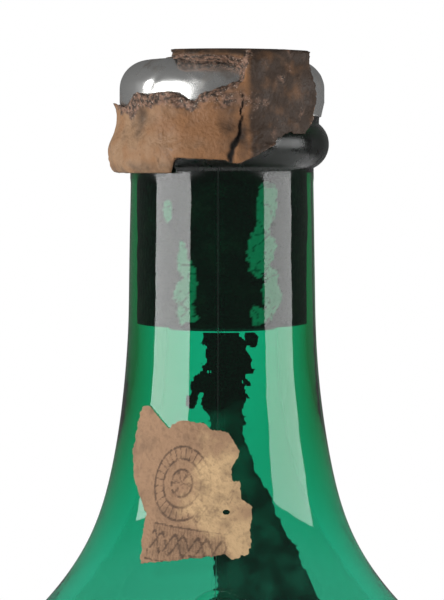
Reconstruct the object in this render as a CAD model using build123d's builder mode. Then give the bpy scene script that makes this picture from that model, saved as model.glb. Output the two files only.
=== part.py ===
"""A corked and sealed wine bottle in millimetres, standing on its foot with +Z up.

The pieces are the glass bottle, the cork, the wine, the tin cap over the lip, the broken wax
seal over the cap, a torn paper stamp on the neck and the dried deposit inside the neck.
The origin is the centre of the foot. The front of the bottle faces -Y.
Heights on the neck are given as drops below the lip, so the body takes up any change of height.
"""

from build123d import *

import os
from math import cos, radians, sin

# Glass body
height = 295.0
body_radius = 40.0
body_wall = 3.3
heel_radius = 6.0
foot_width = 3.0
punt_depth = 20.0
floor_thickness = 6.0
trough_radius = 3.0

# Shoulder: a round arc out of the body, which ends where the glass leans by the shoulder angle
shoulder_drop = 114.0
shoulder_radius = 30.0
shoulder_angle = 43.5

# Neck: its waist is at the collar, and it widens by the flares as it goes down
neck_radius = 15.5
neck_root_drop = 68.9
neck_root_flare = 3.4
neck_throat_drop = 82.5
neck_throat_flare = 8.1
neck_taper_drop = 40.3
neck_taper_flare = 0.36

# Finish: the collar under the lip, and the lip bead that the tin cap covers
collar_stand = 2.5
collar_top_drop = 10.4
collar_crest_drop = 14.6
collar_foot_drop = 17.8
lip_stand = 1.5
lip_round = 4.6
groove_stand = 0.9
lip_foot_drop = 7.8

# Bore, and the cavity below it
bore_radius = 9.4
cavity_root_wall = 6.0

# Contents
cork_length = 45.0
fill_drop = 123.0
deposit_thickness = 0.5

# Tin cap and wax seal
tin_thickness = 0.3
tin_skirt = 9.2
wax_top = 1.2
wax_thickness = 2.4
wax_collar_thickness = 1.4
wax_waist = 1.2
wax_round = 3.2
wax_foot_drop = 18.7
facet_azimuth = 41.0
facet_thickness = 0.6
facet_foot_drop = 14.0
flake_across = 1.9
flake_up = 2.4
flake_down = 0.7
crack_width = 0.4
crack_depth = 1.0
bite_radius = 1.7

# Paper stamp
paper_thickness = 0.2

# Blank round seal of glass on the shoulder
seal_radius = 7.0
seal_rise = 3.5
seal_stand = 0.9
seal_root = 2.2
ring_radii = (6.2, 4.4)
ring_section = 0.55

# Sizes that follow from the ones above
foot_inside = body_radius - heel_radius - foot_width
punt_radius = (foot_inside**2 + punt_depth**2) / (2 * punt_depth)
floor_top = punt_depth + floor_thickness
dome_radius = punt_radius + floor_thickness
cavity_radius = body_radius - body_wall
trough_foot = floor_top - dome_radius + (dome_radius**2 - cavity_radius**2) ** 0.5
neck_top = height - collar_foot_drop
lip_radius = neck_radius + lip_stand
groove_radius = neck_radius + groove_stand
groove_drop = (collar_top_drop + lip_foot_drop) / 2
cavity_root = neck_radius + neck_root_flare - cavity_root_wall
collar_radius = neck_radius + collar_stand
shoulder_height = height - shoulder_drop
cork_foot = height - cork_length
fill_height = height - fill_drop
cap_top = height + tin_thickness
wax_crown = cap_top + wax_top
wax_radius = lip_radius + tin_thickness + wax_thickness
wax_collar_radius = collar_radius + wax_collar_thickness
facet_distance = lip_radius + tin_thickness + facet_thickness
wide = 4 * wax_radius


def on_neck(drop, flare):
    """Point of the neck's outside, where it is wider than its waist by the flare."""
    return (neck_radius + flare, height - drop)


def around(azimuth, drop, radius=wax_radius):
    """Point in the front view of a spot on a round surface: azimuth 0 is the front."""
    return (radius * sin(radians(azimuth)), height - drop)


def below_lip(points):
    """Points in the front view from pairs of a place across and a drop below the lip."""
    return [(across, height - drop) for across, drop in points]


def broken_face(plane, points):
    """Face on a plane, inside a closed outline of straight broken edges."""
    with BuildSketch(plane) as outline:
        with BuildLine():
            Polyline(*points, close=True)
        make_face()
    return outline.sketch


leaning = (-sin(radians(shoulder_angle)), cos(radians(shoulder_angle)))

# Half section of the glass as if it were solid, from the punt up to the lip
with BuildSketch(Plane.XZ) as glass_section:
    with BuildLine():
        punt = RadiusArc((0, punt_depth), (foot_inside, 0), punt_radius)
        foot = Line(punt @ 1, (foot_inside + foot_width, 0))
        heel = JernArc(foot @ 1, (1, 0), heel_radius, 90)
        side = Line(heel @ 1, (body_radius, shoulder_height))
        shoulder = JernArc(side @ 1, (0, 1), shoulder_radius, shoulder_angle)
        neck = Spline(
            shoulder @ 1,
            on_neck(neck_throat_drop, neck_throat_flare),
            on_neck(neck_root_drop, neck_root_flare),
            on_neck(neck_taper_drop, neck_taper_flare),
            tangents=(leaning, (-neck_taper_flare, neck_taper_drop - collar_foot_drop)),
        )
        waist = Line(neck @ 1, (neck_radius, neck_top))
        collar = ThreePointArc(
            waist @ 1,
            (collar_radius, height - collar_crest_drop),
            (groove_radius, height - collar_top_drop),
        )
        groove = ThreePointArc(
            collar @ 1,
            (groove_radius + 0.15 * (lip_radius - groove_radius), height - groove_drop),
            (lip_radius, height - lip_foot_drop),
        )
        bead = Line(groove @ 1, (lip_radius, height - lip_round))
        lip = JernArc(bead @ 1, (0, 1), lip_round, 90)
        Polyline(lip @ 1, (0, height), (0, punt_depth))
    make_face()

# Half section of the space inside the glass, from the floor up to the mouth
with BuildSketch(Plane.XZ) as cavity_section:
    with BuildLine():
        dome = RadiusArc((0, floor_top), (cavity_radius, trough_foot), dome_radius)
        inner_side = Line(dome @ 1, (cavity_radius, shoulder_height))
        inner_shoulder = JernArc(
            inner_side @ 1, (0, 1), shoulder_radius - body_wall, shoulder_angle
        )
        inner_neck = Spline(
            inner_shoulder @ 1,
            (cavity_root, height - neck_root_drop),
            (bore_radius, cork_foot),
            tangents=(leaning, (0, 1)),
        )
        bore = Line(inner_neck @ 1, (bore_radius, height))
        Polyline(bore @ 1, (0, height), (0, floor_top))
    make_face()
    fillet(cavity_section.vertices().sort_by_distance(dome @ 1)[0], trough_radius)

# Half section of the tin: a skin over the lip bead and the top of the cork
with BuildSketch(Plane.XZ) as tin_section:
    add(glass_section.sketch_local)
    with Locations((0, height - tin_skirt)):
        Rectangle(wide, wide, align=(Align.CENTER, Align.MIN), mode=Mode.INTERSECT)
    offset(amount=tin_thickness, kind=Kind.INTERSECTION)
    with Locations((0, height - tin_skirt)):
        Rectangle(wide, wide, align=(Align.MIN, Align.MIN), mode=Mode.INTERSECT)
    add(glass_section.sketch_local, mode=Mode.SUBTRACT)

# Half section of the whole wax before it broke, laid over the tin, the groove and the collar
with BuildSketch(Plane.XZ) as wax_section:
    with BuildLine():
        top = Line((0, wax_crown), (wax_radius - wax_round, wax_crown))
        brow = JernArc(top @ 1, (1, 0), wax_round, -90)
        drape = Spline(
            brow @ 1,
            (wax_radius - wax_waist, height - collar_top_drop),
            (wax_collar_radius, height - collar_crest_drop),
            (collar_radius, height - wax_foot_drop),
            tangents=((0, -1), (-1, -1)),
        )
        Polyline(drape @ 1, (0, height - wax_foot_drop), (0, wax_crown))
    make_face()
    add(glass_section.sketch_local, mode=Mode.SUBTRACT)
    add(tin_section.sketch_local, mode=Mode.SUBTRACT)

# The glass seal sits square on the neck, a little way up from the shoulder's end
seal_centre = neck.position_at(seal_rise, position_mode=PositionMode.LENGTH)
seal_lean = neck.tangent_at(seal_rise, position_mode=PositionMode.LENGTH)
seal_plane = Plane(
    origin=(0, -seal_centre.X, seal_centre.Y),
    x_dir=(1, 0, 0),
    z_dir=(0, -seal_lean.Y, -seal_lean.X),
)

with BuildPart() as bottle:
    revolve(glass_section.sketch, axis=Axis.Z)
    with Locations(seal_plane.offset(-seal_root)):
        Cylinder(
            seal_radius,
            seal_root + seal_stand,
            align=(Align.CENTER, Align.CENTER, Align.MIN),
        )
    with Locations(seal_plane.offset(seal_stand)):
        for ring_radius in ring_radii:
            Torus(ring_radius, ring_section)
    revolve(cavity_section.sketch, axis=Axis.Z, mode=Mode.SUBTRACT)
bottle.part.label = "bottle"

# The cork fills the bore from its foot up to the lip, under the tin
with BuildSketch(Plane.XZ) as cork_section:
    add(cavity_section.sketch_local)
    with Locations((0, cork_foot)):
        Rectangle(wide, 2 * cork_length, align=(Align.MIN, Align.MIN), mode=Mode.INTERSECT)

with BuildPart() as cork:
    revolve(cork_section.sketch, axis=Axis.Z)
cork.part.label = "cork"

# The wine fills the cavity up to its level at the bottom of the shoulder
with BuildSketch(Plane.XZ) as wine_section:
    add(cavity_section.sketch_local)
    Rectangle(2 * body_radius, fill_height, align=(Align.MIN, Align.MIN), mode=Mode.INTERSECT)

with BuildPart() as wine:
    revolve(wine_section.sketch, axis=Axis.Z)
wine.part.label = "wine"

with BuildPart() as tin_cap:
    revolve(tin_section.sketch, axis=Axis.Z)
tin_cap.part.label = "tin_cap"

# Broken edges of the wax, as azimuths from the front and drops below the lip.
# A window shows the tin at the front left, from a sill up to a rim under the wax's top.
window_sill = [(-67, 7.0), (-58, 8.0), (-46, 5.5), (-39, 6.0), (-26, 5.3), (-15, 7.1), (-12, 5.7), (7, 3.4)]
window_rim = [(8, 1.8), (2, 0.9), (-14, 0.7), (-20, 0.0), (-56, 0.2)]
side_sill = [(-105, 0.2), (-128, 2.0), (-122, 4.6), (-132, 6.4), (-110, 7.4)]
front_hem = [(-69, 18.6), (-25, 18.7), (-23, 16.2), (3, 16.6), (7, 17.2), (13, 16.4), (21, 14.9)]
front_hem += [(28, 13.9), (35, 13.6), (44, 12.3), (49, 10.4), (55, 8.1), (60, 1.9), (58, -3.0)]
back_hem = [(118, -3.0), (122, 4.0), (132, 8.5), (128, 13.0), (148, 16.6), (166, 15.4), (184, 17.6)]
back_hem += [(205, 18.9), (226, 17.0), (246, 18.6)]
crack_path = [(11, 3.8), (10, 8.3), (9, 12.0), (5, 14.5), (4, 17.5)]
bite_azimuth, bite_drop = -22, 7.4

sill = [around(*spot) for spot in window_sill]
rim = [around(*spot) for spot in window_rim]
far_left = [(-wide, rim[-1][1]), (-wide, sill[0][1])]
window_cut = broken_face(Plane.XZ, [*sill, *rim, *far_left])
side_cut = broken_face(Plane.XZ, [far_left[0], *[around(*spot) for spot in side_sill], far_left[1]])

# Round the window the wax flaked away, so the window opens wider at the wax's outside
flaked_sill = [(x + flake_across, z - flake_down) for x, z in sill]
flaked_rim = [(x + flake_across, z + flake_up) for x, z in rim]
flake_inside = broken_face(Plane.XZ.offset(lip_radius - 1), [*sill, *rim])
flake_outside = broken_face(Plane.XZ.offset(wax_radius + 1), [*flaked_sill, *flaked_rim])

# All that lies below the hem, and beside it where the wax has come off the right of the lip
hem_floor = height - wax_foot_drop - 2
hem_ceiling = wax_crown + 2
lost_right = [(wide, hem_ceiling), (wide, hem_floor), (-wide, hem_floor)]
front_points = [around(*spot) for spot in front_hem]
front_cut = broken_face(Plane.XZ, [(-wide, front_points[0][1]), *front_points, *lost_right])
back_points = [around(*spot) for spot in back_hem]
back_cut = broken_face(
    Plane.XZ, [*back_points, (-wide, back_points[-1][1]), *reversed(lost_right)]
)

with BuildSketch(Plane.XZ.offset(wax_radius - crack_depth)) as crack_slot:
    with BuildLine():
        Polyline(*[around(*spot) for spot in crack_path])
    trace(line_width=crack_width)

with BuildPart() as wax_seal:
    revolve(wax_section.sketch, axis=Axis.Z)
    # The flat face at the front right
    with Locations(Location((0, 0, height - facet_foot_drop), (0, 0, facet_azimuth - 90))):
        with Locations((facet_distance, 0, 0)):
            Box(wide, wide, wide, align=(Align.MIN, Align.CENTER, Align.MIN), mode=Mode.SUBTRACT)
    extrude(window_cut, amount=wide, mode=Mode.SUBTRACT)
    extrude(side_cut, amount=-wide, mode=Mode.SUBTRACT)
    loft([flake_inside.face(), flake_outside.face()], ruled=True, mode=Mode.SUBTRACT)
    extrude(front_cut, amount=wide, mode=Mode.SUBTRACT)
    extrude(back_cut, amount=-wide, mode=Mode.SUBTRACT)
    extrude(crack_slot.sketch, amount=wide, mode=Mode.SUBTRACT)
    bite_x, bite_z = around(bite_azimuth, bite_drop)
    with Locations((bite_x, -wax_radius * cos(radians(bite_azimuth)), bite_z)):
        Sphere(bite_radius, mode=Mode.SUBTRACT)
wax_seal.part.label = "wax_seal"

# Torn outline of the paper stamp in the front view: across from the axis, and below the lip
stamp_outline = [(-13.2, 57.3), (-11.8, 57.0), (-8.8, 60.3), (-6.8, 58.9), (-2.8, 59.4), (-1.9, 60.3)]
stamp_outline += [(1.0, 60.8), (2.9, 63.9), (1.6, 66.9), (1.6, 68.6), (2.9, 68.6), (3.1, 71.4), (4.8, 72.7)]
stamp_outline += [(4.7, 79.1), (3.7, 80.3), (1.6, 81.0), (0.5, 80.1), (-13.3, 82.1), (-12.8, 76.6)]
stamp_outline += [(-12.4, 74.3), (-13.4, 72.1), (-14.5, 69.1), (-14.7, 64.4)]
stamp_shape = broken_face(Plane.XZ, below_lip(stamp_outline))
stamp_foot = stamp_shape.bounding_box().min.Z - 1
stamp_reach = stamp_shape.bounding_box().size.Z + 2

# The paper is pressed out of a skin that follows the glass
with BuildSketch(Plane.XZ) as paper_section:
    with Locations((paper_thickness, 0)):
        add(glass_section.sketch_local)
    add(glass_section.sketch_local, mode=Mode.SUBTRACT)
    with Locations((0, stamp_foot)):
        Rectangle(wide, stamp_reach, align=(Align.MIN, Align.MIN), mode=Mode.INTERSECT)

with BuildPart() as label:
    revolve(paper_section.sketch, axis=Axis.Z)
    extrude(stamp_shape, amount=wide, mode=Mode.INTERSECT)
label.part.label = "label"

# The deposit dried in a trail down the front of the inside, from the cork to the wine
deposit_outline = [(-2.7, 45.0), (3.2, 45.0), (2.7, 52.0), (3.6, 58.0), (5.6, 64.0), (7.6, 70.0)]
deposit_outline += [(9.8, 76.5), (12.0, 81.5), (14.0, 87.0), (16.0, 98.0), (15.0, fill_drop)]
deposit_outline += [(1.0, fill_drop), (-2.0, 98.0), (-1.0, 87.0), (-1.6, 81.0), (-3.0, 72.0)]
deposit_outline += [(-2.2, 62.0), (-1.2, 52.0)]
deposit_shape = broken_face(Plane.XZ, below_lip(deposit_outline))
with BuildSketch(Plane.XZ) as deposit_section:
    add(cavity_section.sketch_local)
    with Locations((-deposit_thickness, 0)):
        add(cavity_section.sketch_local, mode=Mode.SUBTRACT)
    with Locations((0, fill_height)):
        Rectangle(wide, cork_foot - fill_height, align=(Align.MIN, Align.MIN), mode=Mode.INTERSECT)

with BuildPart() as deposit:
    revolve(deposit_section.sketch, axis=Axis.Z)
    extrude(deposit_shape, amount=wide, mode=Mode.INTERSECT)
deposit.part.label = "deposit"

os.makedirs("parts", exist_ok=True)
for piece in (bottle, cork, wine, tin_cap, wax_seal, label, deposit):
    export_step(piece.part, f"parts/{piece.part.label}.step")
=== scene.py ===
"""Looks of a corked and wax-sealed wine bottle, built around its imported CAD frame, in metres."""

import logging
import math
from dataclasses import dataclass
from enum import Enum
from typing import Callable

import bpy
import numpy as np
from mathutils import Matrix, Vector, noise

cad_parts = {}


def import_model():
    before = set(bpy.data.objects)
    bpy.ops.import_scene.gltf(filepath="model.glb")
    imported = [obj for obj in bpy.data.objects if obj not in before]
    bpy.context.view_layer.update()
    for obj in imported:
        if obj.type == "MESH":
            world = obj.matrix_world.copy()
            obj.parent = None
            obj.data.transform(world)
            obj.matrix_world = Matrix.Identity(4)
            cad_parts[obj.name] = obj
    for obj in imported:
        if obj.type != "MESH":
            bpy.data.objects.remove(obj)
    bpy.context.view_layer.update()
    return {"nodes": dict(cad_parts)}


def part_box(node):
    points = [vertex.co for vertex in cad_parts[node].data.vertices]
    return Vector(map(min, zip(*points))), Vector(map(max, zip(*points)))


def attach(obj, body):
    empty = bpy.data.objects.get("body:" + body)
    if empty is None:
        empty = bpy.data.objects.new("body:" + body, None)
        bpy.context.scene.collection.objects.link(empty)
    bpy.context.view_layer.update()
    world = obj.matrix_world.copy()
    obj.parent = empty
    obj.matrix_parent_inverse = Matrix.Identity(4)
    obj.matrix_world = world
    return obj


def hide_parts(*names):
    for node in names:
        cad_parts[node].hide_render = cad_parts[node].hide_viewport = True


LOG = logging.getLogger("bottle")
Point = tuple[float, float]
Colour = tuple[float, float, float]
Patches = tuple[tuple[Point, Point], ...]


class Grain(Enum):
    """How fine a patch of noise is, as its scale in cells per metre."""

    BLOTCH = 90.0
    MOTTLE = 260.0
    GRIT = 1400.0
    DUST = 4200.0


# --- Nodes and materials ------------------------------------------------------------------


class Finish:
    """A node material that is put together step by step."""

    def __init__(self, name: str) -> None:
        """Starts a material with an empty Principled shader.

        Args:
            name: The material's name.
        """
        self.material = bpy.data.materials.new(name)
        self.material.use_nodes = True
        self.tree = self.material.node_tree
        self.shader = self.tree.nodes["Principled BSDF"]
        self.output = self.tree.nodes["Material Output"]
        self.place = self.tree.nodes.new("ShaderNodeTexCoord").outputs["Object"]

    def node(self, kind: str, **values: object) -> bpy.types.Node:
        """Adds a node.

        Args:
            kind: The node's type name.
            values: Its own settings.

        Returns:
            The new node.
        """
        made = self.tree.nodes.new(kind)
        for key, value in values.items():
            setattr(made, key, value)
        return made

    def link(self, source: bpy.types.NodeSocket, target: bpy.types.NodeSocket) -> None:
        """Joins an output to an input.

        Args:
            source: The output.
            target: The input.
        """
        self.tree.links.new(source, target)

    def set(self, **values: object) -> None:
        """Sets plain values on the shader, an underscore standing for a space in their names."""
        for key, value in values.items():
            self.shader.inputs[key.replace("_", " ")].default_value = value

    def patches(self, grain: Grain, low: float, high: float, detail: float = 6.0) -> bpy.types.NodeSocket:
        """Noise turned into a mask.

        Args:
            grain: How fine the patches are.
            low: Noise value at which the mask starts.
            high: Noise value at which it is full.
            detail: Octaves of the noise.

        Returns:
            The mask's output, from 0 to 1.
        """
        made = self.node("ShaderNodeGroup", node_tree=patch_group())
        self.link(self.place, made.inputs["Place"])
        made.inputs["Scale"].default_value = grain.value
        made.inputs["Low"].default_value = low
        made.inputs["High"].default_value = high
        made.inputs["Detail"].default_value = detail
        return made.outputs["Mask"]

    def attribute(self, name: str) -> bpy.types.NodeSocket:
        """The value that the mesh carries under a name."""
        return self.node("ShaderNodeAttribute", attribute_name=name).outputs["Fac"]

    def mix(self, mask: object, first: object, second: object) -> bpy.types.NodeSocket:
        """Mixes two colours, each a colour or an output, by a mask.

        Args:
            mask: A number or an output.
            first: Where the mask is 0.
            second: Where the mask is 1.

        Returns:
            The mixed colour's output.
        """
        made = self.node("ShaderNodeMix", data_type="RGBA")
        for socket, value in ((made.inputs[0], mask), (made.inputs[6], first), (made.inputs[7], second)):
            if isinstance(value, bpy.types.NodeSocket):
                self.link(value, socket)
            elif isinstance(value, tuple):
                socket.default_value = (*value, 1.0)
            else:
                socket.default_value = value
        return made.outputs[2]

    def math(self, operation: str, first: object, second: object = 0.0) -> bpy.types.NodeSocket:
        """A sum on numbers or outputs.

        Args:
            operation: The Math node's operation.
            first: First value.
            second: Second value.

        Returns:
            The result's output.
        """
        made = self.node("ShaderNodeMath", operation=operation)
        for socket, value in zip(made.inputs, (first, second)):
            if isinstance(value, bpy.types.NodeSocket):
                self.link(value, socket)
            else:
                socket.default_value = value
        return made.outputs[0]

    def stained(self, under: object, mask: bpy.types.NodeSocket, share: float, stain: Colour) -> object:
        """Lays a stain over a colour where a mask says, at a share of its strength.

        Args:
            under: The colour or output below.
            mask: Where the stain lies.
            share: How strong the stain is, from 0 to 1.
            stain: Its colour.

        Returns:
            The stained colour's output.
        """
        return self.mix(self.math("MULTIPLY", mask, share), under, stain)

    def colour(self, source: bpy.types.NodeSocket) -> None:
        """Feeds the base colour."""
        self.link(source, self.shader.inputs["Base Color"])

    def rough(self, mask: object, low: float, high: float) -> None:
        """Roughness between two values by a mask.

        Args:
            mask: The mask's output.
            low: Roughness where it is 0.
            high: Roughness where it is 1.
        """
        spread = self.math("MULTIPLY", mask, high - low)
        self.link(self.math("ADD", spread, low), self.shader.inputs["Roughness"])

    def bump(self, height: bpy.types.NodeSocket, depth: float, strength: float = 1.0) -> None:
        """Relief that is too fine to model, over any relief that is already there.

        Args:
            height: The relief's output.
            depth: Its depth in metres.
            strength: How much of it shows.
        """
        made = self.node("ShaderNodeBump")
        made.inputs["Distance"].default_value = depth
        made.inputs["Strength"].default_value = strength
        self.link(height, made.inputs["Height"])
        target = self.shader.inputs["Normal"]
        if target.is_linked:
            self.link(target.links[0].from_socket, made.inputs["Normal"])
        self.link(made.outputs["Normal"], target)


def patch_group() -> bpy.types.NodeTree:
    """The shared node group that turns noise into a patchy mask.

    Returns:
        The group, made on its first use.
    """
    if "patches" in bpy.data.node_groups:
        return bpy.data.node_groups["patches"]
    group = bpy.data.node_groups.new("patches", "ShaderNodeTree")
    face = group.interface
    face.new_socket("Place", in_out="INPUT", socket_type="NodeSocketVector")
    for name in ("Scale", "Low", "High", "Detail"):
        face.new_socket(name, in_out="INPUT", socket_type="NodeSocketFloat")
    face.new_socket("Mask", in_out="OUTPUT", socket_type="NodeSocketFloat")
    start = group.nodes.new("NodeGroupInput")
    end = group.nodes.new("NodeGroupOutput")
    cells = group.nodes.new("ShaderNodeTexNoise")
    ramp = group.nodes.new("ShaderNodeMapRange")
    ramp.interpolation_type = "SMOOTHSTEP"
    for source, target in (
        (start.outputs["Place"], cells.inputs["Vector"]),
        (start.outputs["Scale"], cells.inputs["Scale"]),
        (start.outputs["Detail"], cells.inputs["Detail"]),
        (cells.outputs[0], ramp.inputs["Value"]),
        (start.outputs["Low"], ramp.inputs["From Min"]),
        (start.outputs["High"], ramp.inputs["From Max"]),
        (ramp.outputs["Result"], end.inputs["Mask"]),
    ):
        group.links.new(source, target)
    return group


@dataclass(frozen=True)
class GreenGlass:
    """Old clear green glass, a little dusty, and dirty round the collar."""

    ior: float = 1.52
    density: float = 450.0
    tint: Colour = (0.02, 0.83, 0.71)
    clean: Colour = (1.0, 1.0, 1.0)
    # dimmed: the colour that the glass darkens to towards the bottom
    dimmed: Colour = (0.85, 0.80, 0.74)
    grime: Colour = (0.42, 0.41, 0.35)
    dust: Colour = (0.75, 0.72, 0.64)
    seam_slope: float = 0.04
    seam_line: float = 0.00004
    seam_fade: float = 0.00022

    def make(self) -> bpy.types.Material:
        """Builds the material.

        Returns:
            The material.
        """
        finish = Finish("green_glass")
        dirt = finish.math("MULTIPLY", finish.attribute("dirt"), finish.patches(Grain.MOTTLE, 0.2, 0.62))
        specks = finish.math("MULTIPLY", finish.attribute("dirt"), finish.patches(Grain.DUST, 0.55, 0.7))
        # darker towards the bottom: below the neck the glass's colour is dimmed
        clear = finish.mix(finish.attribute("dim_below"), self.clean, self.dimmed)
        dusty = finish.mix(dirt, clear, self.grime)
        finish.colour(finish.mix(specks, dusty, self.dust))
        finish.set(IOR=self.ior, Transmission_Weight=1.0, Sheen_Weight=0.06, Sheen_Roughness=0.35)
        finish.rough(finish.math("MAXIMUM", dirt, self.seam(finish)), 0.03, 0.42)
        finish.bump(finish.patches(Grain.BLOTCH, 0.3, 0.7, 2.0), 0.00004)
        depth = finish.node("ShaderNodeVolumeAbsorption")
        depth.inputs["Color"].default_value = (*self.tint, 1.0)
        depth.inputs["Density"].default_value = self.density
        finish.link(depth.outputs["Volume"], finish.output.inputs["Volume"])
        return finish.material

    def seam(self, finish: Finish) -> bpy.types.NodeSocket:
        """The fine line of the mould seam down the front and the back.

        Args:
            finish: The finish that is being put together.

        Returns:
            The line's mask.
        """
        apart = finish.node("ShaderNodeSeparateXYZ")
        finish.link(finish.place, apart.inputs[0])
        lean = finish.math("MULTIPLY", apart.outputs["Y"], self.seam_slope)
        away = finish.math("ABSOLUTE", finish.math("SUBTRACT", apart.outputs["X"], lean))
        line = finish.node("ShaderNodeMapRange", interpolation_type="SMOOTHSTEP")
        line.inputs["From Min"].default_value = self.seam_fade
        line.inputs["From Max"].default_value = self.seam_line
        finish.link(away, line.inputs["Value"])
        return line.outputs["Result"]


@dataclass(frozen=True)
class StainedCork:
    """Cork gone nearly black, with pale film where it has shrunk from the glass."""

    dark: Colour = (0.012, 0.008, 0.006)
    bark: Colour = (0.05, 0.03, 0.02)
    film: Colour = (0.42, 0.72, 0.58)

    def make(self) -> bpy.types.Material:
        """Builds the material.

        Returns:
            The material.
        """
        finish = Finish("stained_cork")
        bark = finish.mix(finish.patches(Grain.MOTTLE, 0.45, 0.75), self.dark, self.bark)
        finish.colour(finish.mix(finish.attribute("film"), bark, self.film))
        finish.set(Roughness=0.9)
        finish.bump(finish.patches(Grain.GRIT, 0.3, 0.7), 0.0002)
        return finish.material


@dataclass(frozen=True)
class SealingWax:
    """Old brown wax: ochre skin, dark patches, painted shade under the broken lip, round the crack and in
    it, and grainy pink breaks.
    """

    tan: Colour = (0.33, 0.195, 0.105)
    orange: Colour = (0.27, 0.125, 0.05)
    dark: Colour = (0.032, 0.02, 0.013)
    broken: Colour = (0.26, 0.145, 0.095)
    speck: Colour = (0.55, 0.42, 0.33)
    # gap: near-black painted shade inside the crack
    gap: Colour = (0.012, 0.009, 0.007)

    def make(self) -> bpy.types.Material:
        """Builds the material.

        Returns:
            The material.
        """
        finish = Finish("sealing_wax")
        skin = finish.mix(finish.attribute("warm"), self.tan, self.orange)
        skin = finish.stained(skin, finish.patches(Grain.MOTTLE, 0.42, 0.68), 0.55, self.orange)
        # painted shade under the broken sill and round the crack, with a darker right face, top and hem
        skin = finish.mix(finish.attribute("soot"), skin, self.dark)
        skin = finish.stained(skin, finish.patches(Grain.GRIT, 0.58, 0.75), 0.35, self.dark)
        grain = finish.patches(Grain.GRIT, 0.35, 0.65, 9.0)
        rubble = finish.mix(grain, self.broken, self.dark)
        rubble = finish.mix(finish.patches(Grain.DUST, 0.6, 0.68), rubble, self.speck)
        whole = finish.mix(finish.attribute("broken"), skin, rubble)
        # the crack is painted near-black as shade
        finish.colour(finish.mix(finish.attribute("crack"), whole, self.gap))
        finish.rough(finish.patches(Grain.MOTTLE, 0.3, 0.7), 0.55, 0.85)
        finish.bump(finish.patches(Grain.MOTTLE, 0.3, 0.7), 0.0004, 0.5)
        finish.bump(grain, 0.0002, 0.5)
        return finish.material


@dataclass(frozen=True)
class BrightTin:
    """Tin foil pressed over the lip: bright, creased and faintly tarnished."""

    bright: Colour = (0.86, 0.86, 0.84)
    tarnish: Colour = (0.42, 0.38, 0.34)

    def make(self) -> bpy.types.Material:
        """Builds the material.

        Returns:
            The material.
        """
        finish = Finish("bright_tin")
        stain = finish.patches(Grain.MOTTLE, 0.52, 0.75)
        finish.colour(finish.mix(stain, self.bright, self.tarnish))
        finish.set(Metallic=0.92)
        finish.rough(stain, 0.24, 0.5)
        finish.bump(finish.patches(Grain.MOTTLE, 0.2, 0.8, 1.0), 0.00012, 0.5)
        return finish.material


@dataclass(frozen=True)
class DarkWine:
    """Old tawny red wine, nearly black through the glass."""

    deep: Colour = (0.055, 0.012, 0.008)
    tawny: Colour = (0.11, 0.03, 0.015)

    def make(self) -> bpy.types.Material:
        """Builds the material.

        Returns:
            The material.
        """
        finish = Finish("dark_wine")
        finish.colour(finish.mix(finish.patches(Grain.BLOTCH, 0.35, 0.65), self.deep, self.tawny))
        finish.set(Roughness=0.06, IOR=1.34)
        return finish.material


@dataclass(frozen=True)
class DriedDeposit:
    """Black crust under the cork that thins to a dark brown film."""

    crust: Colour = (0.010, 0.008, 0.007)
    film: Colour = (0.02, 0.018, 0.014)
    thinnest: float = 0.62
    thicker: float = 0.2

    def make(self) -> bpy.types.Material:
        """Builds the material.

        Returns:
            The material.
        """
        finish = Finish("dried_deposit")
        flecks = finish.patches(Grain.GRIT, 0.35, 0.7)
        film = finish.mix(flecks, self.film, self.crust)
        finish.colour(finish.mix(finish.attribute("crust"), film, self.crust))
        finish.set(Roughness=0.85)
        thin = finish.math("MULTIPLY", finish.patches(Grain.MOTTLE, 0.35, 0.65), self.thicker)
        cover = finish.math("MAXIMUM", finish.attribute("crust"), finish.math("ADD", thin, self.thinnest))
        finish.link(cover, finish.shader.inputs["Alpha"])
        finish.bump(flecks, 0.0003)
        return finish.material


@dataclass(frozen=True)
class StampPaper:
    """Aged brown paper with a rubbed pale middle and a faded generic print."""

    brown: Colour = (0.36, 0.215, 0.125)
    pale: Colour = (0.64, 0.43, 0.23)
    stain: Colour = (0.17, 0.105, 0.065)
    ink: Colour = (0.105, 0.062, 0.04)

    def make(self) -> bpy.types.Material:
        """Builds the material. The mesh carries the print in its ink attribute.

        Returns:
            The material.
        """
        finish = Finish("stamp_paper")
        paper = finish.mix(finish.attribute("rubbed"), self.brown, self.pale)
        paper = finish.stained(paper, finish.patches(Grain.MOTTLE, 0.48, 0.7), 0.55, self.stain)
        paper = finish.stained(paper, finish.patches(Grain.GRIT, 0.5, 0.7), 0.35, self.stain)
        worn = finish.patches(Grain.GRIT, 0.3, 0.52)
        ink = finish.math("MULTIPLY", finish.attribute("ink"), finish.math("MULTIPLY", worn, 0.95))
        finish.colour(finish.mix(ink, paper, self.ink))
        finish.set(Roughness=0.88)
        finish.bump(finish.patches(Grain.GRIT, 0.3, 0.7), 0.00012, 0.8)
        finish.bump(finish.patches(Grain.MOTTLE, 0.3, 0.7, 3.0), 0.0003, 0.6)
        return finish.material


# --- Shaping ------------------------------------------------------------------------------


def arc(centre: Point, radius: float, start: float, end: float, steps: int) -> list[Point]:
    """Points of an arc in the half section.

    Args:
        centre: The arc's centre, as a radius and a height.
        radius: Its radius.
        start: First angle in degrees from the outward direction.
        end: Last angle.
        steps: Number of segments.

    Returns:
        The points, ends included.
    """
    turns = [math.radians(start + (end - start) * i / steps) for i in range(steps + 1)]
    return [(centre[0] + radius * math.cos(t), centre[1] + radius * math.sin(t)) for t in turns]


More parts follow.
